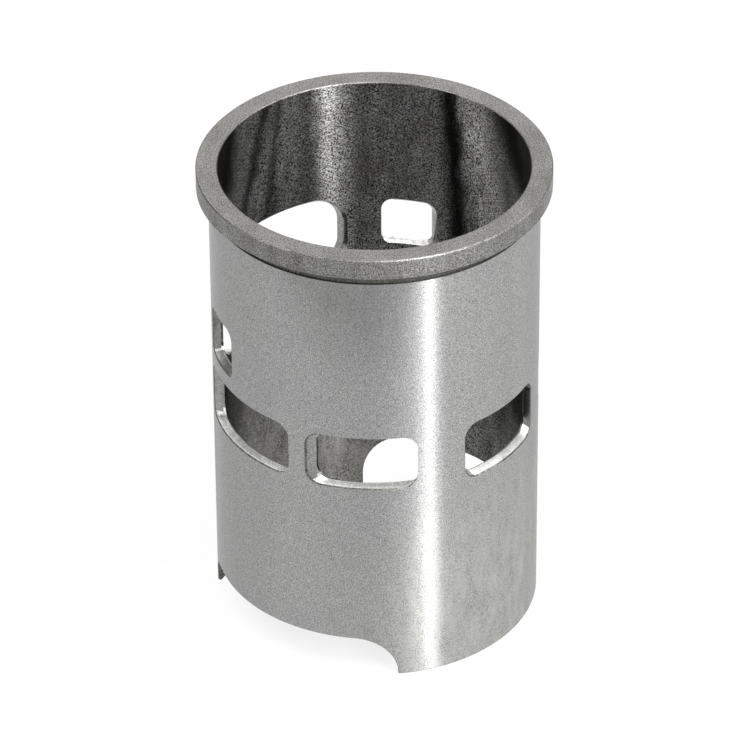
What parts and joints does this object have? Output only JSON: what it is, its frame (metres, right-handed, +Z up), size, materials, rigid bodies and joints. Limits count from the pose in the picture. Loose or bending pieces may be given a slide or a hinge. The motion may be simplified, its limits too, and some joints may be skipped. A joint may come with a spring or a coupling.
{
  "type": "cylinder liner",
  "caption": "Flanged cylinder liner of a two-stroke engine: an open honed tube with gas ports through its wall and cut-outs in its skirt.",
  "frame": {"origin": "centre of the plane that the skirt stands on, on the bore's axis", "axes": "+Z up along the bore to the flange; -Y out through the main exhaust port; +X to the right as seen from the exhaust side"},
  "size_m": [0.0932, 0.0932, 0.134],
  "materials": {
    "liner_iron": "ground outside, honed bore, bare metal"
  },
  "bodies": {
    "root": {"liner": "liner_iron"}
  },
  "joints": []
}
